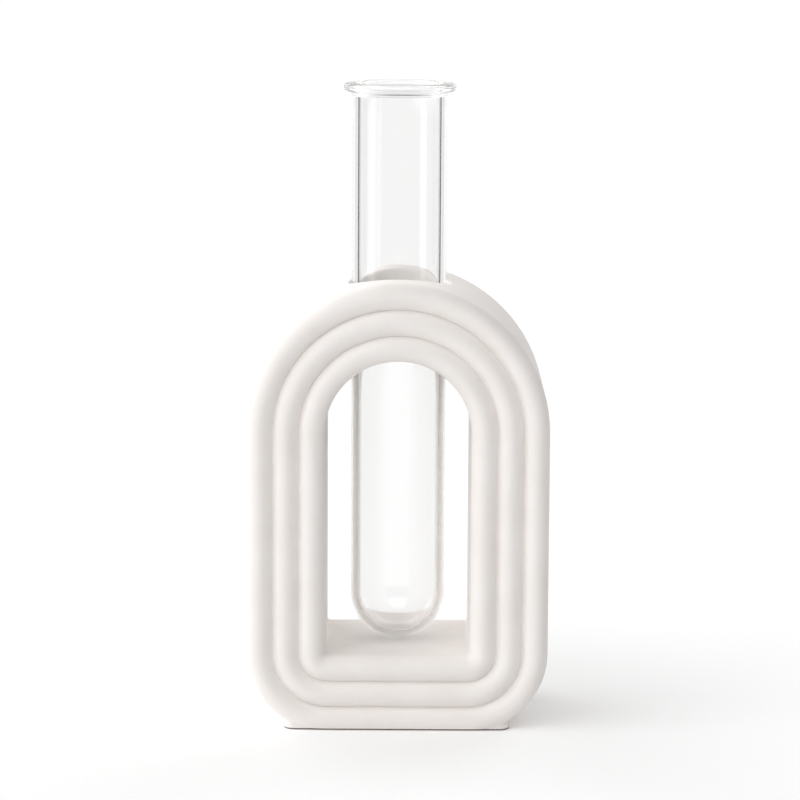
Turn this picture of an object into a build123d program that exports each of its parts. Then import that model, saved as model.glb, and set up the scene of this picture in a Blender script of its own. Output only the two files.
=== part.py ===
"""Glass flower tube in a ribbed arch stand.

The stand is one hollow ceramic casting: an arch on a short foot, with half-round ribs on its front and back that run
round the opening, and a hole down through its crown. The glass tube drops through that hole and stands on the sill.
Millimetres, +Z up. The origin is the centre of the foot, on the table. The ribbed faces look along -Y and +Y.
"""

import os

from build123d import *

# Stand: outline, ribs and opening
stand_width = 80.0          # across the arch's two legs
spring_height = 79.4        # from the table to the centre of the round crown
side_gap = 6.6              # in the opening, between the tube and each leg
crease_depth = 43.0         # from the creases of the front ribs to those of the back ribs
rib_count = 3               # ribs on each face, side by side from the opening to the outline
opening_corner = 0.8        # radius of the opening's two lower corners

# Stand: foot
foot_inset = 10.0           # from the legs' outer sides to the foot's ends
foot_setback = 1.65         # from the crests of the ribs to the foot's long sides
foot_height = 4.5           # its top is inside the casting
foot_corner = 3.0
foot_step = 0.5             # the lowest ribs are cut flat this far above the table
rib_cut = 1.2               # how much of the lowest ribs that cut takes away
foot_edge = 0.3             # rounding of the edge that meets the table

# Stand: hollow inside
casting_wall = 4.0
cavity_corner = 3.0         # rounding of the cavity's long edges
vent_diameter = 3.5         # lets the air out in the kiln
vent_offset = 16.0          # from the foot's centre, along X

# Tube
tube_diameter = 25.4
tube_length = 150.0
tube_wall = 1.9
lip_overhang = 2.3          # how far the lip stands out beyond the tube
lip_thickness = 2.3

# Fits
crown_clearance = 0.4       # between the tube and the hole in the crown, on the radius
seat_clearance = 0.3        # under the tube's round bottom
crown_edge = 0.8            # rounding of the hole's upper and lower edges

overrun = 5.0               # how far a cut runs past the face that it goes through

# Sizes that follow from those above: the stand
tube_radius = tube_diameter / 2
opening_half = tube_radius + side_gap
ribbed_width = stand_width / 2 - opening_half
rib_width = ribbed_width / rib_count
rib_radius = rib_width / 2                      # each rib is half round
crease_half = crease_depth / 2
sill_height = foot_step + ribbed_width - rib_cut
corner_reach = opening_half - opening_corner
corner_height = sill_height + opening_corner
crown_height = spring_height + stand_width / 2
foot_width = stand_width - 2 * foot_inset
foot_depth = crease_depth + 2 * (rib_radius - foot_setback)
cavity_width = ribbed_width - 2 * casting_wall
cavity_depth = crease_depth - 2 * casting_wall
cavity_round = min(cavity_corner, (cavity_width - casting_wall) / 2)    # less where the hollow is narrow
crown_hole_radius = tube_radius + crown_clearance
tunnel_width = 2 * (crown_hole_radius + casting_wall)

# Sizes that follow from those above: the tube
tube_bottom = sill_height + seat_clearance
bore_radius = tube_radius - tube_wall
round_height = tube_bottom + tube_radius
tube_top = tube_bottom + tube_length
lip_round = lip_thickness / 2
lip_underside = tube_top - lip_thickness
lip_bend = lip_overhang - lip_round
mouth_reach = tube_wall + lip_bend

os.makedirs("parts", exist_ok=True)


# Stand

with BuildLine(Plane.XZ) as opening_route:
    CenterArc((0, spring_height), opening_half, 0, 180)
    Line((-opening_half, spring_height), (-opening_half, corner_height))
    CenterArc((-corner_reach, corner_height), opening_corner, 180, 90)
    Line((-corner_reach, sill_height), (corner_reach, sill_height))
    CenterArc((corner_reach, corner_height), opening_corner, 270, 90)
    Line((opening_half, corner_height), (opening_half, spring_height))

section_plane = Plane(origin=(opening_half, 0, spring_height), x_dir=(1, 0, 0), z_dir=(0, 0, 1))

with BuildSketch(section_plane) as wall_section:
    with BuildLine():
        Line((0, -crease_half), (0, crease_half))
        for rib in range(rib_count):
            inner = rib * rib_width
            middle = inner + rib_radius
            outer = inner + rib_width
            ThreePointArc((inner, -crease_half), (middle, -crease_half - rib_radius), (outer, -crease_half))
            ThreePointArc((inner, crease_half), (middle, crease_half + rib_radius), (outer, crease_half))
        Line((ribbed_width, -crease_half), (ribbed_width, crease_half))
    make_face()

with BuildSketch(section_plane) as cavity_section:
    with Locations((ribbed_width / 2, 0)):
        RectangleRounded(cavity_width, cavity_depth, cavity_round)

with BuildPart() as cavity:
    sweep(sections=cavity_section.sketch, path=opening_route.wire())
    with Locations((0, 0, crown_height)):
        Box(tunnel_width, crease_depth, stand_width, mode=Mode.SUBTRACT)

with BuildPart() as arch_stand:
    sweep(sections=wall_section.sketch, path=opening_route.wire())
    split(bisect_by=Plane.XY.offset(foot_step), keep=Keep.TOP)
    with BuildSketch(Plane.XY):
        RectangleRounded(foot_width, foot_depth, foot_corner)
    extrude(amount=foot_height)
    add(cavity.part, mode=Mode.SUBTRACT)
    with Locations((0, 0, crown_height + overrun)):
        Cylinder(
            crown_hole_radius, crown_height - spring_height + overrun,
            align=(Align.CENTER, Align.CENTER, Align.MAX), mode=Mode.SUBTRACT,
        )
    fillet(arch_stand.edges(Select.LAST).filter_by(GeomType.LINE, reverse=True), crown_edge)
    underside = arch_stand.faces().sort_by(Axis.Z)[0]
    fillet(underside.outer_wire().edges(), foot_edge)
    with Locations((vent_offset, 0, 0)):
        Cylinder(
            vent_diameter / 2, casting_wall + overrun,
            align=(Align.CENTER, Align.CENTER, Align.MIN), mode=Mode.SUBTRACT,
        )

arch_stand.part.label = "arch_stand"
export_step(arch_stand.part, "parts/arch_stand.step")


# Tube

with BuildPart() as glass_tube:
    with BuildSketch(Plane.XZ):
        with BuildLine():
            Line((0, tube_bottom), (0, tube_bottom + tube_wall))
            CenterArc((0, round_height), bore_radius, -90, 90)
            Line((bore_radius, round_height), (bore_radius, tube_top - mouth_reach))
            CenterArc((bore_radius + mouth_reach, tube_top - mouth_reach), mouth_reach, 90, 90)
            CenterArc((tube_radius + lip_bend, tube_top - lip_round), lip_round, -90, 180)
            CenterArc((tube_radius + lip_bend, lip_underside - lip_bend), lip_bend, 90, 90)
            Line((tube_radius, lip_underside - lip_bend), (tube_radius, round_height))
            CenterArc((0, round_height), tube_radius, -90, 90)
        make_face()
    revolve(axis=Axis.Z)

glass_tube.part.label = "glass_tube"
export_step(glass_tube.part, "parts/glass_tube.step")
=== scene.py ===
"""Glass flower tube in a ribbed arch stand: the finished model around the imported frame.

The ceramic stand and the glass tube are made again here as fine meshes, in the sizes and places of
their CAD nodes. Geometry nodes with named sizes draw both: the stand's ribs follow the opening's outline,
and the tube's wall follows its profile. Then come the procedural finishes, a white table, a soft studio
surround and the camera. Lengths are in metres, and the origin is the centre of the foot, on the table.
"""

import logging
import math
from dataclasses import dataclass, field
from enum import Enum
from typing import Union

import bpy
from mathutils import Matrix, Vector


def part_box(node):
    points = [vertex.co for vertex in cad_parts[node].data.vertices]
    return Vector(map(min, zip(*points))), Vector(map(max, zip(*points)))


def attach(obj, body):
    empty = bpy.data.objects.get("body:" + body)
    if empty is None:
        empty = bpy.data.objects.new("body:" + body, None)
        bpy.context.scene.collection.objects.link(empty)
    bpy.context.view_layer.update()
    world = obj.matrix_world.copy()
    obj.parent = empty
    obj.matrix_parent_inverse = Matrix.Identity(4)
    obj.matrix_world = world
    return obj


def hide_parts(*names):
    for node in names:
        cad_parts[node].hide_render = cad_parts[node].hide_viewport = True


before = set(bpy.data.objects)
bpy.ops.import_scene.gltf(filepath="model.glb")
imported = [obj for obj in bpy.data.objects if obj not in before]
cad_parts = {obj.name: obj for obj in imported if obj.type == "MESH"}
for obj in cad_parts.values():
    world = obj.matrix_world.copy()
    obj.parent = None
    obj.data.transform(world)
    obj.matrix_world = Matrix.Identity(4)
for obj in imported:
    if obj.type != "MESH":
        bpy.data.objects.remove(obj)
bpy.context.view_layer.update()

log = logging.getLogger("flower_tube")

MM = 0.001
HALF_TURN = math.pi
QUARTER_TURN = math.pi / 2
DEGREES = 180 / math.pi
HAIR = 0.001                # keeps a whole number from coming out as the one below it
BOX_DECIMALS = 5            # of a metre, so a hundredth of a millimetre
GLASS_BOUNCES = 128         # light turns many times inside the tube's wall before it leaves
DIFFUSE_BOUNCES = 8


def measured_box(cad_node: str) -> list[list[float]]:
    """Return a CAD node's lowest and highest corners, to the nearest hundredth of a millimetre."""
    return [[round(float(value), BOX_DECIMALS) for value in corner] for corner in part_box(cad_node)]


class Side(Enum):
    """Which face of the crown a mouth of the hole opens through."""

    TOP = 1
    SOFFIT = -1


Value = Union["Field", float]


class Field:
    """One output of a node tree, with sums written as ordinary arithmetic."""

    def __init__(self, plan: "NodePlan", socket: bpy.types.NodeSocket) -> None:
        """Hold a socket and the plan that it belongs to."""
        self.plan = plan
        self.socket = socket

    def __add__(self, other: Value) -> "Field":
        """Return the sum of two values."""
        return self.plan.math("ADD", self, other)

    def __sub__(self, other: Value) -> "Field":
        """Return this value less the other."""
        return self.plan.math("SUBTRACT", self, other)

    def __rsub__(self, other: Value) -> "Field":
        """Return the other value less this one."""
        return self.plan.math("SUBTRACT", other, self)

    def __mul__(self, other: Value) -> "Field":
        """Return the product of two values."""
        return self.plan.math("MULTIPLY", self, other)

    def __truediv__(self, other: Value) -> "Field":
        """Return this value divided by the other."""
        return self.plan.math("DIVIDE", self, other)

    __radd__ = __add__
    __rmul__ = __mul__


class NodePlan:
    """A node tree that is being drawn up, for geometry, a material or the world."""

    def __init__(self, tree: bpy.types.NodeTree) -> None:
        """Start a plan in an empty tree."""
        self.tree = tree
        self.identifiers: dict[str, str] = {}

    def node(
        self, kind: str, inputs: dict[str | int, object] | None = None, **settings: object,
    ) -> bpy.types.Node:
        """Add a node.

        Args:
            kind: The node's type name.
            inputs: Values, fields or lists of fields for its input sockets, by name or by number.
            settings: Values for the node's own properties.

        Returns:
            The new node.
        """
        node = self.tree.nodes.new(kind)
        for name, value in settings.items():
            setattr(node, name, value)
        for name, value in (inputs or {}).items():
            socket = node.inputs[name]
            for item in value if isinstance(value, list) else [value]:
                if isinstance(item, Field):
                    self.tree.links.new(item.socket, socket)
                else:
                    socket.default_value = item
        return node

    def out(self, node: bpy.types.Node, output: Union[str, int] = 0) -> Field:
        """Return one of a node's outputs as a field."""
        return Field(self, node.outputs[output])

    def math(self, operation: str, *values: Value, clamp: bool = False) -> Field:
        """Return the result of a sum or comparison of up to three values."""
        numbered = dict(enumerate(values))
        return self.out(self.node("ShaderNodeMath", numbered, operation=operation, use_clamp=clamp))

    def vector(self, x: Value = 0.0, y: Value = 0.0, z: Value = 0.0) -> Field:
        """Return a vector made of three values."""
        return self.out(self.node("ShaderNodeCombineXYZ", {"X": x, "Y": y, "Z": z}))

    def split(self, vector: Field) -> tuple[Field, Field, Field]:
        """Return a vector's three parts."""
        node = self.node("ShaderNodeSeparateXYZ", {"Vector": vector})
        return self.out(node, 0), self.out(node, 1), self.out(node, 2)


class ShapePlan(NodePlan):
    """A geometry node tree with named sizes, which ends in one dressed mesh."""

    def __init__(self, name: str) -> None:
        """Start an empty geometry tree."""
        super().__init__(bpy.data.node_groups.new(name, "GeometryNodeTree"))
        self.group_input = self.tree.nodes.new("NodeGroupInput")

    def size(self, name: str, kind: str = "NodeSocketFloat") -> Field:
        """Add a named input to the tree.

        Args:
            name: The input's name, as the modifier shows it.
            kind: The socket type of the input.

        Returns:
            The input as a field.
        """
        item = self.tree.interface.new_socket(name, in_out="INPUT", socket_type=kind)
        self.identifiers[name] = item.identifier
        return Field(self, self.group_input.outputs[name])

    def move(self, shape: Field, position: Field) -> Field:
        """Return a shape with its points set to a position."""
        return self.out(self.node("GeometryNodeSetPosition", {"Geometry": shape, "Position": position}))

    def index(self) -> Field:
        """Return each point's number."""
        return self.out(self.node("GeometryNodeInputIndex"))

    def position(self) -> tuple[Field, Field, Field]:
        """Return the three parts of each point's position."""
        return self.split(self.out(self.node("GeometryNodeInputPosition")))

    def stages(self, step: Field, counts: list[int]) -> list[Field]:
        """Split a walk into stages.

        Args:
            step: The number of the step along the walk.
            counts: How many steps each stage takes.

        Returns:
            For each stage a share that is 0 before it, rises evenly through it and is 1 after it.
        """
        shares = []
        start = 0
        for count in counts:
            shares.append(self.math("DIVIDE", step - start, count, clamp=True))
            start += count
        return shares

    def loop(self, count: int) -> Field:
        """Return a closed curve of so many points, for its points to be set."""
        return self.out(self.node("GeometryNodeCurvePrimitiveCircle", {"Resolution": count}))

    def sweep(self, route: Field, section: Field, caps: bool = False) -> Field:
        """Return the mesh that a section makes along a route."""
        inputs = {"Curve": route, "Profile Curve": section, "Fill Caps": caps}
        return self.out(self.node("GeometryNodeCurveToMesh", inputs))

    def column(self, section: Field, rings: int) -> Field:
        """Draw a capped column whose rings stand at whole numbers of height.

        Args:
            section: The outline of its rings.
            rings: How many rings it has.

        Returns:
            The column as a closed mesh, for its points to be set.
        """
        line = self.out(self.node("GeometryNodeCurvePrimitiveLine", {"End": (0.0, 0.0, rings - 1.0)}))
        route = self.out(self.node("GeometryNodeResampleCurve", {"Curve": line, "Count": rings}))
        return self.sweep(route, section, caps=True)

    def block(self, size: Field, centre: Field) -> Field:
        """Return a plain block, which only serves to cut."""
        cube = self.out(self.node("GeometryNodeMeshCube", {"Size": size}))
        return self.out(self.node("GeometryNodeTransform", {"Geometry": cube, "Translation": centre}))

    def boolean(self, operation: str, inputs: dict[str, object]) -> Field:
        """Return closed meshes joined or cut, as the operation says."""
        node = self.node("GeometryNodeMeshBoolean", inputs, operation=operation, solver="MANIFOLD")
        return self.out(node)

    def cut(self, shape: Field, cutters: list[Field]) -> Field:
        """Return a shape less its cutters."""
        return self.boolean("DIFFERENCE", {"Mesh 1": shape, "Mesh 2": cutters})

    def join(self, shapes: list[Field]) -> Field:
        """Return several shapes made one."""
        return self.boolean("UNION", {"Mesh 2": shapes})

    def finish(self, shape: Field, merge: float, smooth_angle: float) -> None:
        """End the tree: one clean mesh with smooth faces, sharp edges and its finish.

        Args:
            shape: The shape to finish.
            merge: Points nearer than this become one.
            smooth_angle: Edges that turn by more than this stay sharp.
        """
        finish = self.size("Finish", "NodeSocketMaterial")
        merged = self.out(self.node("GeometryNodeMergeByDistance", {"Geometry": shape, "Distance": merge}))
        faces = self.out(self.node("GeometryNodeSetShadeSmooth", {"Geometry": merged}, domain="FACE"))
        angle = self.out(self.node("GeometryNodeInputMeshEdgeAngle"))
        sharp = self.math("GREATER_THAN", angle, smooth_angle)
        inputs = {"Geometry": faces, "Selection": sharp, "Shade Smooth": False}
        edges = self.out(self.node("GeometryNodeSetShadeSmooth", inputs, domain="EDGE"))
        real = self.out(self.node("GeometryNodeRealizeInstances", {"Geometry": edges}))
        dressed = self.out(self.node("GeometryNodeSetMaterial", {"Geometry": real, "Material": finish}))
        self.tree.interface.new_socket("Geometry", in_out="OUTPUT", socket_type="NodeSocketGeometry")
        self.node("NodeGroupOutput", {"Geometry": dressed})

    def make(self, name: str, sizes: dict[str, float], finish: bpy.types.Material) -> bpy.types.Object:
        """Run the tree and keep its result as a plain mesh.

        Args:
            name: The new piece's name.
            sizes: A value for each named size.
            finish: The material for the whole piece.

        Returns:
            The piece, with no modifier on it.
        """
        piece = bpy.data.objects.new(name, bpy.data.meshes.new(name))
        bpy.context.scene.collection.objects.link(piece)
        modifier = piece.modifiers.new("shape", "NODES")
        modifier.node_group = self.tree
        for size_name, value in {**sizes, "Finish": finish}.items():
            modifier[self.identifiers[size_name]] = value
        evaluated = piece.evaluated_get(bpy.context.evaluated_depsgraph_get())
        mesh = bpy.data.meshes.new_from_object(evaluated)
        piece.modifiers.remove(modifier)
        piece.data = mesh
        mesh.name = name
        return piece


@dataclass(frozen=True)
class Ceramic:
    """Unglazed, warm off-white ceramic with a faint cloudiness and a fine dry grain.

    Attributes:
        light_tone: Colour of the lightest clouds.
        deep_tone: Colour of the deepest clouds.
        deep_below: Level of the noise up to which the colour is the deep tone.
        light_above: Level of the noise from which it is the light tone.
        contact_shade_tone: Colour of the painted contact shadow along the bottom edge, the shade where
            the foot meets the table.
        contact_shade_height: Height of that painted shadow line.
        contact_shade_fray: How far the line wanders with the grain, as a share of its height.
        contact_shade_blur: Half the height over which it fades out, as a share of its height.
        cloud_share: How much of the tone follows the clouds. The grain sets the rest.
        grain_depth: Height of the grain in the surface.
        wave_depth: Height of the long, soft waves in the surface.
        noise_roughness: How strong each finer layer of the noise is against the one before.
        sheen_level: Strength of the surface's reflection, where 0.5 is that of plain glass.
    """

    name: str = "matte_ceramic"
    light_tone: tuple[float, float, float] = (0.880, 0.845, 0.819)
    deep_tone: tuple[float, float, float] = (0.852, 0.814, 0.784)
    deep_below: float = 0.36
    light_above: float = 0.64
    # Painted contact shadow: a thin dark line along the bottom edge stands in for the shade where the foot
    # meets the table.
    contact_shade_tone: tuple[float, float, float] = (0.16, 0.13, 0.11)
    contact_shade_height: float = 0.40 * MM
    contact_shade_fray: float = 0.6
    contact_shade_blur: float = 0.25
    cloud_size: float = 9 * MM
    cloud_detail: float = 5.0
    cloud_share: float = 0.75
    grain_size: float = 0.45 * MM
    grain_detail: float = 3.0
    grain_depth: float = 0.012 * MM
    wave_size: float = 6 * MM
    wave_detail: float = 1.0
    wave_depth: float = 0.03 * MM
    noise_roughness: float = 0.55
    roughness_low: float = 0.72
    roughness_high: float = 0.88
    sheen_level: float = 0.35

    def material(self) -> bpy.types.Material:
        """Draw up the finish on object coordinates.

        Returns:
            The material.
        """
        material = bpy.data.materials.new(self.name)
        material.use_nodes = True
        plan = NodePlan(material.node_tree)
        shader = material.node_tree.nodes["Principled BSDF"]
        place = plan.out(plan.node("ShaderNodeTexCoord"), "Object")
        cloud = self.noise(plan, place, self.cloud_size, self.cloud_detail)
        grain = self.noise(plan, place, self.grain_size, self.grain_detail)
        wave = self.noise(plan, place, self.wave_size, self.wave_detail)
        tone = cloud * self.cloud_share + grain * (1 - self.cloud_share)
        ramp = plan.node("ShaderNodeValToRGB", {"Fac": tone})
        ramp.color_ramp.elements[0].position = self.deep_below
        ramp.color_ramp.elements[0].color = (*self.deep_tone, 1.0)
        ramp.color_ramp.elements[1].position = self.light_above
        ramp.color_ramp.elements[1].color = (*self.light_tone, 1.0)
        # Painted contact shadow: just above the table the tone turns dark, in place of the shade where the
        # foot meets the table.
        rise = plan.split(place)[2] + (grain - 0.5) * self.contact_shade_height * self.contact_shade_fray
        contact_shade = plan.node("ShaderNodeMapRange", {
            "Value": rise,
            "From Min": self.contact_shade_height * (1 - self.contact_shade_blur),
            "From Max": self.contact_shade_height * (1 + self.contact_shade_blur),
            "To Min": 1.0, "To Max": 0.0,
        })
        footed = plan.node("ShaderNodeMix", {
            "Factor": plan.out(contact_shade), "A": plan.out(ramp), "B": (*self.contact_shade_tone, 1.0),
        }, data_type="RGBA")
        plan.tree.links.new(footed.outputs["Result"], shader.inputs["Base Color"])
        dryness = plan.node("ShaderNodeMapRange", {
            "Value": grain, "To Min": self.roughness_low, "To Max": self.roughness_high,
        })
        plan.tree.links.new(dryness.outputs["Result"], shader.inputs["Roughness"])
        shader.inputs["Specular IOR Level"].default_value = self.sheen_level
        relief = grain * self.grain_depth + wave * self.wave_depth
        bump = plan.node("ShaderNodeBump", {"Height": relief, "Distance": 1.0, "Strength": 1.0})
        plan.tree.links.new(bump.outputs["Normal"], shader.inputs["Normal"])
        return material

    def noise(self, plan: NodePlan, place: Field, size: float, detail: float) -> Field:
        """Return a soft noise whose blotches are about a given size."""
        inputs = {"Vector": place, "Scale": 1 / size, "Detail": detail, "Roughness": self.noise_roughness}
        return plan.out(plan.node("ShaderNodeTexNoise", inputs, normalize=True), 0)


@dataclass(frozen=True)
class Glass:
    """Clear drawn glass, with the faint long waves that drawing leaves in it.

    Attributes:
        tone: Colour of the light that it lets through.
        ior: Its index of refraction.
        draw_width: Width of the waves.
        draw_length: Length of the waves, along the tube.
        draw_depth: Height of the waves.
        draw_detail: Layers of finer noise in them.
        haze_start: Level of the waves at which their faint haze begins.
        haze_full: Level at which it is full.
        haze_low: Roughness without the haze.
        haze_high: Roughness where it is full.
    """

    name: str = "clear_glass"
    tone: tuple[float, float, float] = (0.975, 0.975, 0.973)
    ior: float = 1.474
    draw_width: float = 5 * MM
    draw_length: float = 60 * MM
    draw_depth: float = 0.002 * MM
    draw_detail: float = 1.0
    haze_start: float = 0.45
    haze_full: float = 0.8
    haze_low: float = 0.0
    haze_high: float = 0.012

    def material(self) -> bpy.types.Material:
        """Draw up the finish on object coordinates.

        Returns:
            The material.
        """
        material = bpy.data.materials.new(self.name)
        material.use_nodes = True
        plan = NodePlan(material.node_tree)
        shader = material.node_tree.nodes["Principled BSDF"]
        shader.inputs["Base Color"].default_value = (*self.tone, 1.0)
        shader.inputs["Transmission Weight"].default_value = 1.0
        shader.inputs["IOR"].default_value = self.ior
        place = plan.out(plan.node("ShaderNodeTexCoord"), "Object")
        squeeze = (1 / self.draw_width, 1 / self.draw_width, 1 / self.draw_length)
        drawn = plan.out(plan.node("ShaderNodeMapping", {"Vector": place, "Scale": squeeze}))
        inputs = {"Vector": drawn, "Scale": 1.0, "Detail": self.draw_detail}
        waves = plan.out(plan.node("ShaderNodeTexNoise", inputs), 0)
        haze = plan.node("ShaderNodeMapRange", {
            "Value": waves, "From Min": self.haze_start, "From Max": self.haze_full,
            "To Min": self.haze_low, "To Max": self.haze_high,
        })
        plan.tree.links.new(haze.outputs["Result"], shader.inputs["Roughness"])
        bump = plan.node("ShaderNodeBump", {"Height": waves * self.draw_depth, "Distance": 1.0})
        plan.tree.links.new(bump.outputs["Normal"], shader.inputs["Normal"])
        return material


@dataclass
class FlowerTube:
    """The clear glass tube, with a round bottom and a thick rolled lip.

    Attributes:
        lip_radius: From the axis to the lip's outermost line.
        bottom: Height of the round bottom's lowest point.
        top: Height of the lip's top.
        lip_overhang: How far the lip stands out beyond the tube.
        lip_thickness: Height of the lip.
        wall: Thickness of the glass.
        mouth_round: Rounding of the lip's inner edge.
        around: Points in each ring of the mesh.
        ring_counts: Rings in each stage of the wall: the round end, the side, the bend under the lip,
            the lip, its flat top, the mouth's rounding, the inside and the inner round end.
        merge: Points nearer than this become one.
        sharp_turn: Edges that turn by more degrees than this stay sharp.
    """

    lip_radius: float
    bottom: float
    top: float
    lip_overhang: float = 2.3 * MM
    lip_thickness: float = 2.3 * MM
    wall: float = 1.9 * MM
    mouth_round: float = 1.15 * MM
    around: int = 160
    ring_counts: list[int] = field(default_factory=lambda: [28, 14, 8, 18, 3, 12, 14, 28])
    merge: float = 0.002 * MM
    sharp_turn: float = 60.0
    body: str = "tube"
    cad_node: str = "glass_tube"

    @classmethod
    def from_frame(cls) -> "FlowerTube":
        """Return the tube with its outer sizes taken from its CAD node."""
        low, high = measured_box(cls.cad_node)
        return cls(lip_radius=high[0], bottom=low[2], top=high[2])

    @property
    def radius(self) -> float:
        """Outer radius of the straight tube."""
        return self.lip_radius - self.lip_overhang

    def plan(self) -> ShapePlan:
        """Draw up the tube as rings of points.

        The rings walk from the outer bottom up the side, over the lip and down to the inner bottom.

        Returns:
            The tree.
        """
        plan = ShapePlan("flower_tube_wall")
        radius = plan.size("Tube Radius")
        bottom = plan.size("Bottom Height")
        top = plan.size("Top Height")
        wall = plan.size("Wall")
        overhang = plan.size("Lip Overhang")
        thickness = plan.size("Lip Thickness")
        mouth_round = plan.size("Mouth Rounding")
        bore = radius - wall
        lip_round = thickness * 0.5
        neck_bend = overhang - lip_round
        lip_flat = wall + neck_bend - mouth_round
        centre = bottom + radius
        neck = top - thickness - neck_bend
        mouth = top - mouth_round
        across, along, ring = plan.position()
        round_end, side, bend, lip, flat, flare, inside, inner_end = plan.stages(ring, self.ring_counts)
        outer_turn = round_end * QUARTER_TURN
        bend_turn = bend * QUARTER_TURN
        lip_turn = lip * HALF_TURN
        flare_turn = flare * QUARTER_TURN
        inner_turn = inner_end * QUARTER_TURN
        reach = radius * plan.math("SINE", outer_turn)
        reach += neck_bend * (1 - plan.math("COSINE", bend_turn))
        reach += lip_round * plan.math("SINE", lip_turn)
        reach -= lip_flat * flat
        reach -= mouth_round * plan.math("SINE", flare_turn)
        reach -= bore * (1 - plan.math("COSINE", inner_turn))
        height = centre - radius * plan.math("COSINE", outer_turn)
        height += (neck - centre) * side
        height += neck_bend * plan.math("SINE", bend_turn)
        height += lip_round * (1 - plan.math("COSINE", lip_turn))
        height -= mouth_round * (1 - plan.math("COSINE", flare_turn))
        height -= (mouth - centre) * inside
        height -= bore * plan.math("SINE", inner_turn)
        column = plan.column(plan.loop(self.around), sum(self.ring_counts) + 1)
        wall_shape = plan.move(column, plan.vector(across * reach, along * reach, height))
        plan.finish(wall_shape, self.merge, math.radians(self.sharp_turn))
        return plan

    def build(self, finish: Glass) -> bpy.types.Object:
        """Make the tube, put it on its body and let it stand for its CAD node.

        Args:
            finish: The glass.

        Returns:
            The finished piece.
        """
        sizes = {
            "Tube Radius": self.radius, "Bottom Height": self.bottom, "Top Height": self.top,
            "Wall": self.wall, "Lip Overhang": self.lip_overhang, "Lip Thickness": self.lip_thickness,
            "Mouth Rounding": self.mouth_round,
        }
        piece = self.plan().make("flower_tube", sizes, finish.material())
        # Clear glass: it doesn't dim the light behind and under it.
        piece.visible_shadow = False
        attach(piece, self.body)
        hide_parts(self.cad_node)
        return piece


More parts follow.
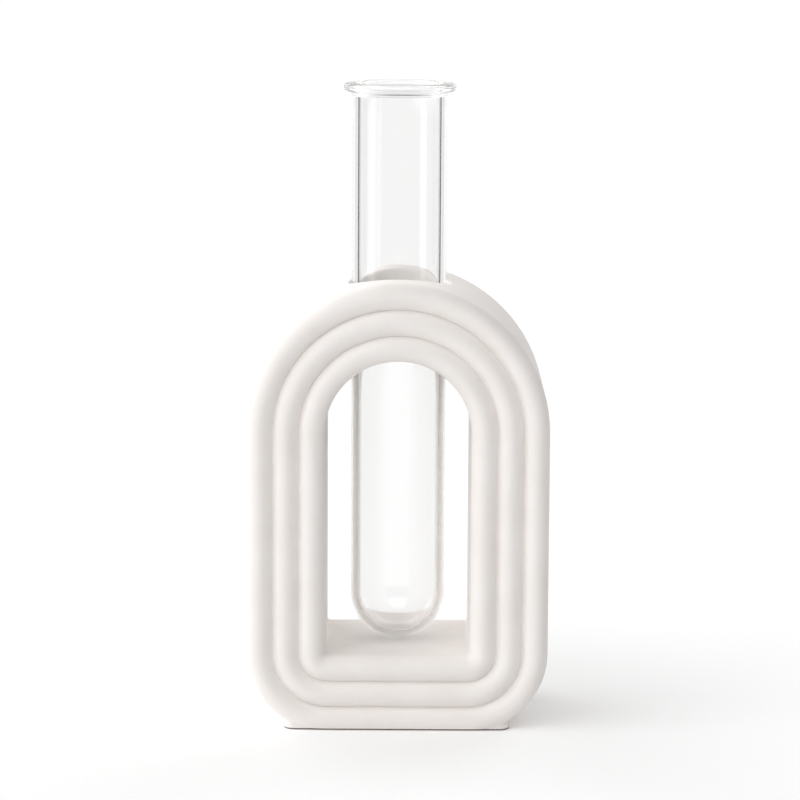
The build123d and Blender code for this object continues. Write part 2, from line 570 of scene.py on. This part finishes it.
@dataclass
class ArchStand:
    """The ceramic stand: a ribbed arch on a short foot, with a hole down through its crown.

    Attributes:
        width: Across the two legs.
        depth: From the crests of the front ribs to those of the back ribs.
        height: From the table to the top of the crown.
        tube_radius: Radius of the tube that the crown holds.
        side_gap: Between the tube and each leg.
        opening_corner: Radius of the opening's two lower corners.
        rib_cut: How much of the lowest ribs is cut away level.
        crease_floor: Height of the filling in the creases between the ribs.
        crease_blend: How softly the filling runs into the ribs.
        foot_inset: From the legs' outer sides to the foot's ends.
        foot_setback: From the crests of the ribs to the foot's long sides.
        foot_height: From the table to the foot's top, which is inside the casting.
        foot_step: From the table to the level cut of the lowest ribs.
        foot_edge: Rounding of the foot's lowest edge.
        cavity_corner: Rounding of the hollow's long edges.
        vent_offset: From the foot's centre to the vent, along X.
        crown_clearance: Between the tube and the hole in the crown.
        crown_edge: Rounding of the hole's upper and lower edges.
        overrun: How far a cutter runs past the face that it goes through.
        flare_short: How many degrees before it would be level with the face a cutter's flare ends.
        flare_run: How far the cutter goes straight on from there, as a share of the overrun.
        flare_depth: How far its other end lies inside the crown, as a share of the overrun.
        rib_steps: Steps round each rib, and likewise for the other counts of steps.
        route_counts: Steps along a quarter of the crown, a leg, a lower corner and half of the sill.
        merge: Points nearer than this become one.
        sharp_turn: Edges that turn by more degrees than this stay sharp.
    """

    width: float
    depth: float
    height: float
    tube_radius: float
    side_gap: float = 6.6 * MM
    rib_count: int = 3
    opening_corner: float = 0.8 * MM
    rib_cut: float = 1.2 * MM
    crease_floor: float = 1.15 * MM
    crease_blend: float = 1.0 * MM
    foot_inset: float = 10.0 * MM
    foot_setback: float = 1.65 * MM
    foot_height: float = 4.5 * MM
    foot_corner: float = 3.0 * MM
    foot_step: float = 0.5 * MM
    foot_edge: float = 0.3 * MM
    casting_wall: float = 4.0 * MM
    cavity_corner: float = 3.0 * MM
    vent_diameter: float = 3.5 * MM
    vent_offset: float = 16.0 * MM
    crown_clearance: float = 0.4 * MM
    crown_edge: float = 0.8 * MM
    overrun: float = 5.0 * MM
    flare_short: float = 7.0
    flare_run: float = 0.3
    flare_depth: float = 1.7
    body: str = "stand"
    cad_node: str = "arch_stand"
    rib_steps: int = 24
    wall_steps: int = 40
    foot_edge_steps: int = 4
    foot_corner_steps: int = 12
    cavity_corner_steps: int = 6
    flare_steps: int = 10
    hole_steps: int = 144
    vent_steps: int = 48
    route_counts: list[int] = field(default_factory=lambda: [64, 28, 24, 12])
    merge: float = 0.001 * MM
    sharp_turn: float = 35.0

    @classmethod
    def from_frame(cls, tube: FlowerTube) -> "ArchStand":
        """Return the stand with its outer sizes taken from its CAD node.

        Args:
            tube: The tube that it holds.

        Returns:
            The stand's sizes.
        """
        low, high = measured_box(cls.cad_node)
        width, depth = high[0] - low[0], high[1] - low[1]
        return cls(width=width, depth=depth, height=high[2], tube_radius=tube.radius)

    def sizes(self) -> dict[str, float]:
        """Work out the sizes of the tree.

        Returns:
            A value for each named size.
        """
        opening_half = self.tube_radius + self.side_gap
        ribbed_width = self.width / 2 - opening_half
        rib_radius = ribbed_width / self.rib_count / 2
        return {
            "Opening Half Width": opening_half,
            "Spring Height": self.height - self.width / 2,
            "Sill Height": self.foot_step + ribbed_width - self.rib_cut,
            "Opening Corner": self.opening_corner,
            "Ribbed Width": ribbed_width,
            "Crease Half Depth": self.depth / 2 - rib_radius,
            "Crease Floor": self.crease_floor,
            "Crease Blend": self.crease_blend,
            "Foot Half Width": self.width / 2 - self.foot_inset,
            "Foot Half Depth": self.depth / 2 - self.foot_setback,
            "Foot Height": self.foot_height,
            "Foot Corner": self.foot_corner,
            "Foot Step": self.foot_step,
            "Foot Edge": self.foot_edge,
            "Casting Wall": self.casting_wall,
            "Cavity Corner": self.cavity_corner,
            "Vent Radius": self.vent_diameter / 2,
            "Vent Offset": self.vent_offset,
            "Crown Hole Radius": self.tube_radius + self.crown_clearance,
            "Crown Edge": self.crown_edge,
            "Overrun": self.overrun,
        }

    def route(self, plan: ShapePlan, size: dict[str, Field]) -> Field:
        """Draw the opening's outline, which runs down from the crown on each side and meets on the sill.

        Args:
            plan: The tree that is being drawn up.
            size: Its named sizes.

        Returns:
            The outline as a closed curve in the upright plane.
        """
        half = sum(self.route_counts)
        index = plan.index()
        step = plan.math("MINIMUM", index, 2 * half - index)
        crown, leg, corner, sill = plan.stages(step, self.route_counts)
        crown_turn = crown * QUARTER_TURN
        corner_turn = corner * QUARTER_TURN
        radius, rounding, spring = size["Opening Half Width"], size["Opening Corner"], size["Spring Height"]
        drop = spring - size["Sill Height"] - rounding
        across = radius * plan.math("SINE", crown_turn) - rounding * (1 - plan.math("COSINE", corner_turn))
        across = across - (radius - rounding) * sill
        height = spring + radius * plan.math("COSINE", crown_turn) - drop * leg
        height = height - rounding * plan.math("SINE", corner_turn)
        side = plan.math("GREATER_THAN", index, float(half)) * 2 - 1
        outline = plan.move(plan.loop(2 * half), plan.vector(across * side, 0.0, height))
        inputs = {"Curve": outline, "Normal": (0.0, 1.0, 0.0)}
        return plan.out(plan.node("GeometryNodeSetCurveNormal", inputs, mode="FREE"))

    def ribbed_section(self, plan: ShapePlan, size: dict[str, Field]) -> Field:
        """Draw the wall's section: half-round ribs on two faces, filled creases and two plain sides.

        Args:
            plan: The tree that is being drawn up.
            size: Its named sizes.

        Returns:
            The section as a closed curve, with its depth along X and the way out of the opening along -Y.
        """
        rib_total = self.rib_count * self.rib_steps
        half = rib_total + self.wall_steps
        width, crease = size["Ribbed Width"], size["Crease Half Depth"]
        index = plan.index()
        step = plan.math("MODULO", index, float(half))
        ribs, side = plan.stages(step, [rib_total, self.wall_steps])
        along = ribs * self.rib_count
        rib = plan.math("FLOOR", along + HAIR / self.rib_steps)
        turn = (along - rib) * HALF_TURN
        rib_width = width / self.rib_count
        rib_radius = rib_width * 0.5
        across = (rib + (1 - plan.math("COSINE", turn)) * 0.5) * rib_width
        crest = rib_radius * plan.math("SINE", turn)
        to_edge = plan.math("MINIMUM", across, width - across)
        between = plan.math("GREATER_THAN", to_edge, rib_radius)
        filling, blend = size["Crease Floor"] * between, size["Crease Blend"] * between
        relief = plan.math("SMOOTH_MAX", crest, filling, blend)
        depth = side * 2 * crease - crease - relief
        turned = 1 - plan.math("GREATER_THAN", index, half - 0.5) * 2
        middle = width * 0.5
        out = middle + (across - middle) * turned
        return plan.move(plan.loop(2 * half), plan.vector(depth * turned, out * -1.0))

    def hollow(self, plan: ShapePlan, size: dict[str, Field], route: Field) -> Field:
        """Draw the casting's hollow: a channel round the opening, left solid round the crown's hole.

        Args:
            plan: The tree that is being drawn up.
            size: Its named sizes.
            route: The opening's outline.

        Returns:
            The hollow as a closed mesh.
        """
        wall = size["Casting Wall"]
        outline = plan.out(plan.node("GeometryNodeCurvePrimitiveQuadrilateral", {
            "Width": (size["Crease Half Depth"] - wall) * 2, "Height": size["Ribbed Width"] - wall * 2,
        }))
        rounded = plan.out(plan.node("GeometryNodeFilletCurve", {
            "Curve": outline, "Count": self.cavity_corner_steps, "Radius": size["Cavity Corner"],
        }, mode="POLY"))
        middle = plan.vector(0.0, size["Ribbed Width"] * -0.5)
        section = plan.out(plan.node("GeometryNodeTransform", {"Geometry": rounded, "Translation": middle}))
        channel = plan.sweep(route, section)
        reach = (size["Crown Hole Radius"] + wall) * 2
        rise = (size["Opening Half Width"] + size["Ribbed Width"]) * 2
        block = plan.block(
            plan.vector(reach, size["Crease Half Depth"] * 2, rise),
            plan.vector(0.0, 0.0, size["Spring Height"] + rise * 0.5),
        )
        return plan.cut(channel, [block])

    def foot(self, plan: ShapePlan, size: dict[str, Field]) -> Field:
        """Draw the foot: a slab with round corners and a softened edge on the table.

        Args:
            plan: The tree that is being drawn up.
            size: Its named sizes.

        Returns:
            The foot as a closed mesh.
        """
        edge, corner = size["Foot Edge"], size["Foot Corner"]
        across, along, ring = plan.position()
        low, high = plan.stages(ring, [self.foot_edge_steps, 1])
        height = edge * low + (size["Foot Height"] - edge) * high
        short = edge * (1 - low)
        inset = edge - plan.math("SQRT", edge * edge - short * short)
        turn = plan.math("ARCTAN2", along, across)
        quadrant = plan.math("FLOOR", turn / QUARTER_TURN + HAIR)
        past_quadrant = turn - quadrant * QUARTER_TURN
        corner_arc = QUARTER_TURN * (1 - 1 / self.foot_corner_steps)
        within = plan.math("DIVIDE", past_quadrant, corner_arc, clamp=True)
        corner_turn = (quadrant + within) * QUARTER_TURN
        middle_turn = (quadrant + 0.5) * QUARTER_TURN
        centre_x = plan.math("SIGN", plan.math("COSINE", middle_turn)) * (size["Foot Half Width"] - corner)
        centre_y = plan.math("SIGN", plan.math("SINE", middle_turn)) * (size["Foot Half Depth"] - corner)
        reach = corner - inset
        spot = plan.vector(
            centre_x + reach * plan.math("COSINE", corner_turn),
            centre_y + reach * plan.math("SINE", corner_turn),
            height,
        )
        rings = self.foot_edge_steps + 2    # those of the edge and the top
        column = plan.column(plan.loop(4 * self.foot_corner_steps), rings)
        return plan.move(column, spot)

    def mouth(self, plan: ShapePlan, size: dict[str, Field], surface: Field, side: Side) -> Field:
        """Draw one half of the crown hole's cutter, with a flared end that leaves a rounded edge.

        The crown and the soffit are both round about the spring line, so the edge's height and slope
        change on the way round the hole, and the flare follows them.

        Args:
            plan: The tree that is being drawn up.
            size: Its named sizes.
            surface: Radius of the face that the hole opens through.
            side: Which of the two faces it is.

        Returns:
            The cutter as a closed mesh.
        """
        hole, edge, spring = size["Crown Hole Radius"], size["Crown Edge"], size["Spring Height"]
        across, along, ring = plan.position()
        flare, run_out, rise = plan.stages(ring - 1, [self.flare_steps, 1, 1])
        above = plan.math("MINIMUM", ring, 1.0)

        def face_height(reach: Field) -> Field:
            """Return the face's height above the spring line at a distance from the hole's axis."""
            offset = reach * across
            return plan.math("SQRT", surface * surface - offset * offset)

        edge_height = face_height(hole)
        slope = (face_height(hole + edge) - edge_height) / edge * side.value
        lean = plan.math("ARCTANGENT", slope)
        end_turn = lean + (QUARTER_TURN + math.radians(self.flare_short))
        turn = HALF_TURN - (HALF_TURN - end_turn) * flare
        centre = slope * edge - edge * plan.math("SQRT", slope * slope + 1)
        run = size["Overrun"] * self.flare_run * run_out
        reach = hole + edge + edge * plan.math("COSINE", turn) + run * plan.math("SINE", end_turn)
        lift = centre + edge * plan.math("SINE", turn) - run * plan.math("COSINE", end_turn)
        lift = lift + size["Overrun"] * rise
        inner_end = edge_height + centre * side.value - size["Overrun"] * self.flare_depth * side.value
        outer = edge_height + lift * side.value
        height = spring + inner_end + (outer - inner_end) * above
        rings = self.flare_steps + 4        # the inner end, the flare, the run-out and the outer end
        column = plan.column(plan.loop(self.hole_steps), rings)
        shape = plan.move(column, plan.vector(across * reach, along * reach, height))
        if side is Side.SOFFIT:
            return plan.out(plan.node("GeometryNodeFlipFaces", {"Mesh": shape}))
        return shape

    def vent(self, plan: ShapePlan, size: dict[str, Field]) -> Field:
        """Draw the cutter for the small hole that lets the air out in the kiln.

        Args:
            plan: The tree that is being drawn up.
            size: Its named sizes.

        Returns:
            The cutter as a closed mesh.
        """
        across, along, ring = plan.position()
        radius = size["Vent Radius"]
        height = (size["Casting Wall"] + size["Overrun"] * 2) * ring - size["Overrun"]
        spot = plan.vector(size["Vent Offset"] + across * radius, along * radius, height)
        return plan.move(plan.column(plan.loop(self.vent_steps), 2), spot)

    def plan(self) -> ShapePlan:
        """Draw up the whole stand: the swept wall, cut level at the foot, with its hollow and holes.

        Returns:
            The tree.
        """
        plan = ShapePlan("ribbed_arch_casting")
        size = {name: plan.size(name) for name in self.sizes()}
        route = self.route(plan, size)
        wall = plan.sweep(route, self.ribbed_section(plan, size))
        deep = size["Overrun"] * 2
        half_span = size["Opening Half Width"] + size["Ribbed Width"]
        wide = half_span * 3
        below = plan.block(
            plan.vector(wide, wide, deep),
            plan.vector(0.0, 0.0, size["Foot Step"] - deep * 0.5),
        )
        level = plan.cut(wall, [below])
        footed = plan.join([level, self.foot(plan, size)])
        cutters = [
            self.hollow(plan, size, route),
            self.mouth(plan, size, half_span, Side.TOP),
            self.mouth(plan, size, size["Opening Half Width"], Side.SOFFIT),
            self.vent(plan, size),
        ]
        casting = plan.cut(footed, cutters)
        plan.finish(casting, self.merge, math.radians(self.sharp_turn))
        return plan

    def build(self, finish: Ceramic) -> bpy.types.Object:
        """Make the stand, put it on its body and let it stand for its CAD node.

        Args:
            finish: The ceramic.

        Returns:
            The finished piece.
        """
        piece = self.plan().make("ribbed_arch", self.sizes(), finish.material())
        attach(piece, self.body)
        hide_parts(self.cad_node)
        return piece


@dataclass(frozen=True)
class SoftPatch:
    """A soft-edged patch of light in the surround.

    Attributes:
        azimuth: Heading of its middle in degrees, with 0 towards the viewer and left negative.
        half_width: Half of the headings that it spans, in degrees.
        low: Elevation of its lower edge, in degrees.
        high: Elevation of its upper edge, in degrees.
        strength: Its brightness, where 1 reads as white.
        rise_blur: Half the width of its soft lower and upper edges, in degrees.
        aside_blur: Half the width of its soft left and right edges, in degrees.
    """

    azimuth: float
    half_width: float
    low: float
    high: float
    strength: float
    rise_blur: float = 10.0
    aside_blur: float = 10.0


@dataclass(frozen=True)
class Studio:
    """A white table in a soft surround, bright at the left and behind and dim at the viewer's right.

    Attributes:
        table_radius: Radius of the round table top.
        table_corners: Corners of its outline.
        table_tone: How much light the table gives back.
        table_roughness: How dull its surface is.
        table_glow: Light of its own, which keeps it near white.
        base: Brightness of the surround where it has no patch.
        patches: The lights. Those below the horizon show at the glass's edges and behind the table.
    """

    table_radius: float = 0.75
    table_corners: int = 128
    table_tone: float = 0.9
    table_roughness: float = 0.9
    table_glow: float = 0.09
    base: float = 0.04
    patches: tuple[SoftPatch, ...] = (
        SoftPatch(azimuth=180, half_width=60, low=0, high=24, strength=0.8, rise_blur=2, aside_blur=25),
        SoftPatch(azimuth=180, half_width=60, low=38, high=68, strength=0.9, rise_blur=6, aside_blur=25),
        SoftPatch(azimuth=143, half_width=22, low=2, high=25, strength=1.0, rise_blur=3, aside_blur=12),
        SoftPatch(azimuth=-143, half_width=22, low=2, high=25, strength=1.0, rise_blur=3, aside_blur=12),
        SoftPatch(azimuth=143, half_width=22, low=27, high=47, strength=1.8, rise_blur=3, aside_blur=12),
        SoftPatch(azimuth=-143, half_width=22, low=27, high=47, strength=1.8, rise_blur=3, aside_blur=12),
        SoftPatch(azimuth=-84, half_width=46, low=0, high=33, strength=2.0, rise_blur=2, aside_blur=14),
        SoftPatch(azimuth=-30, half_width=72, low=31, high=66, strength=1.95, aside_blur=25),
        SoftPatch(azimuth=5, half_width=50, low=45, high=70, strength=0.45, aside_blur=20),
        SoftPatch(azimuth=180, half_width=24, low=-8, high=0, strength=0.12, rise_blur=0.8, aside_blur=5),
        SoftPatch(azimuth=180, half_width=44.5, low=-8, high=0, strength=0.86, rise_blur=0.8, aside_blur=2),
        SoftPatch(azimuth=0, half_width=124, low=-8, high=0, strength=0.55, rise_blur=0.8, aside_blur=3),
        SoftPatch(azimuth=-74, half_width=9, low=-8, high=0, strength=1.9, rise_blur=0.8, aside_blur=3),
        SoftPatch(azimuth=62, half_width=4.5, low=-8, high=0, strength=1.4, rise_blur=0.8, aside_blur=1.5),
        SoftPatch(azimuth=0, half_width=181, low=-100, high=-8, strength=0.95, rise_blur=0.8, aside_blur=1),
    )

    def table(self) -> bpy.types.Object:
        """Make the round white table top.

        Returns:
            The table, with its material.
        """
        radius, corners = self.table_radius, self.table_corners
        turns = [2 * HALF_TURN * corner / corners for corner in range(corners)]
        rim = [(radius * math.cos(turn), radius * math.sin(turn), 0.0) for turn in turns]
        mesh = bpy.data.meshes.new("white_table")
        mesh.from_pydata(rim, [], [list(range(corners))])
        table = bpy.data.objects.new("white_table", mesh)
        bpy.context.scene.collection.objects.link(table)
        material = bpy.data.materials.new("lit_white_acrylic")
        material.use_nodes = True
        shader = material.node_tree.nodes["Principled BSDF"]
        shader.inputs["Base Color"].default_value = (*[self.table_tone] * 3, 1.0)
        shader.inputs["Roughness"].default_value = self.table_roughness
        shader.inputs["Specular IOR Level"].default_value = 0.0
        shader.inputs["Emission Color"].default_value = (1.0, 1.0, 1.0, 1.0)
        shader.inputs["Emission Strength"].default_value = self.table_glow
        mesh.materials.append(material)
        return table

    def surround(self) -> bpy.types.World:
        """Make the world that lights the scene, with its brightness set by direction.

        Returns:
            The world.
        """
        world = bpy.data.worlds.new("studio")
        world.use_nodes = True
        plan = NodePlan(world.node_tree)
        background = world.node_tree.nodes["Background"]
        x, y, z = plan.split(plan.out(plan.node("ShaderNodeTexCoord"), "Generated"))
        heading = plan.math("ARCTAN2", x, y * -1.0) * DEGREES
        elevation = plan.math("ARCSINE", z) * DEGREES
        light: Value = self.base
        for patch in self.patches:
            aside = plan.math("ABSOLUTE", plan.math("WRAP", heading - patch.azimuth, 180.0, -180.0))
            rim, rise = patch.aside_blur, patch.rise_blur
            inside = self.ramp(plan, aside, patch.half_width + rim, patch.half_width - rim)
            above = self.ramp(plan, elevation, patch.low - rise, patch.low + rise)
            under = self.ramp(plan, elevation, patch.high + rise, patch.high - rise)
            light = inside * above * under * patch.strength + light
        plan.tree.links.new(light.socket, background.inputs["Strength"])
        background.inputs["Color"].default_value = (1.0, 1.0, 1.0, 1.0)
        bpy.context.scene.world = world
        return world

    def ramp(self, plan: NodePlan, value: Field, start: float, end: float) -> Field:
        """Return a smooth step that is 0 at the start value and 1 at the end value."""
        inputs = {"Value": value, "From Min": start, "From Max": end}
        return plan.out(plan.node("ShaderNodeMapRange", inputs, interpolation_type="SMOOTHSTEP"))


@dataclass(frozen=True)
class Viewpoint:
    """The photograph's camera: nearly a metre in front of the object, a little above the tube's lip.

    Attributes:
        aim: The point that it looks at.
        distance: From the lens to that point.
        look_down: How far it looks down, in degrees.
        roll: How far it is turned about its own axis, in degrees.
        focal_length: In millimetres.
        sensor_width: In millimetres.
    """

    aim: tuple[float, float, float] = (0.435 * MM, 0.0, 85.163 * MM)
    distance: float = 0.950
    look_down: float = 8.90
    roll: float = 0.32
    focal_length: float = 159.15
    sensor_width: float = 36.0

    def camera(self) -> bpy.types.Object:
        """Make the camera, aim it and make it the scene's own.

        Returns:
            The camera.
        """
        data = bpy.data.cameras.new("camera")
        data.sensor_width = self.sensor_width
        data.lens = self.focal_length
        camera = bpy.data.objects.new("camera", data)
        bpy.context.scene.collection.objects.link(camera)
        down = math.radians(self.look_down)
        back = Vector((0.0, -math.cos(down), math.sin(down))) * self.distance
        upright = Matrix.Rotation(QUARTER_TURN - down, 4, "X")
        rolled = upright @ Matrix.Rotation(math.radians(self.roll), 4, "Z")
        camera.matrix_world = Matrix.Translation(Vector(self.aim) + back) @ rolled
        bpy.context.scene.camera = camera
        return camera


def main() -> None:
    """Build the stand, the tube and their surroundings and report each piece."""
    logging.basicConfig(level=logging.INFO, format="%(name)s: %(message)s")
    bpy.context.scene.view_settings.view_transform = "Standard"
    bpy.context.scene.cycles.max_bounces = GLASS_BOUNCES
    bpy.context.scene.cycles.transmission_bounces = GLASS_BOUNCES
    bpy.context.scene.cycles.glossy_bounces = GLASS_BOUNCES
    bpy.context.scene.cycles.diffuse_bounces = DIFFUSE_BOUNCES
    tube = FlowerTube.from_frame()
    stand = ArchStand.from_frame(tube)
    studio = Studio()
    pieces = [stand.build(Ceramic()), tube.build(Glass()), studio.table()]
    for piece in pieces:
        log.info("%s: %d faces", piece.name, len(piece.data.polygons))
    studio.surround()
    Viewpoint().camera()


if __name__ == "__main__":
    main()
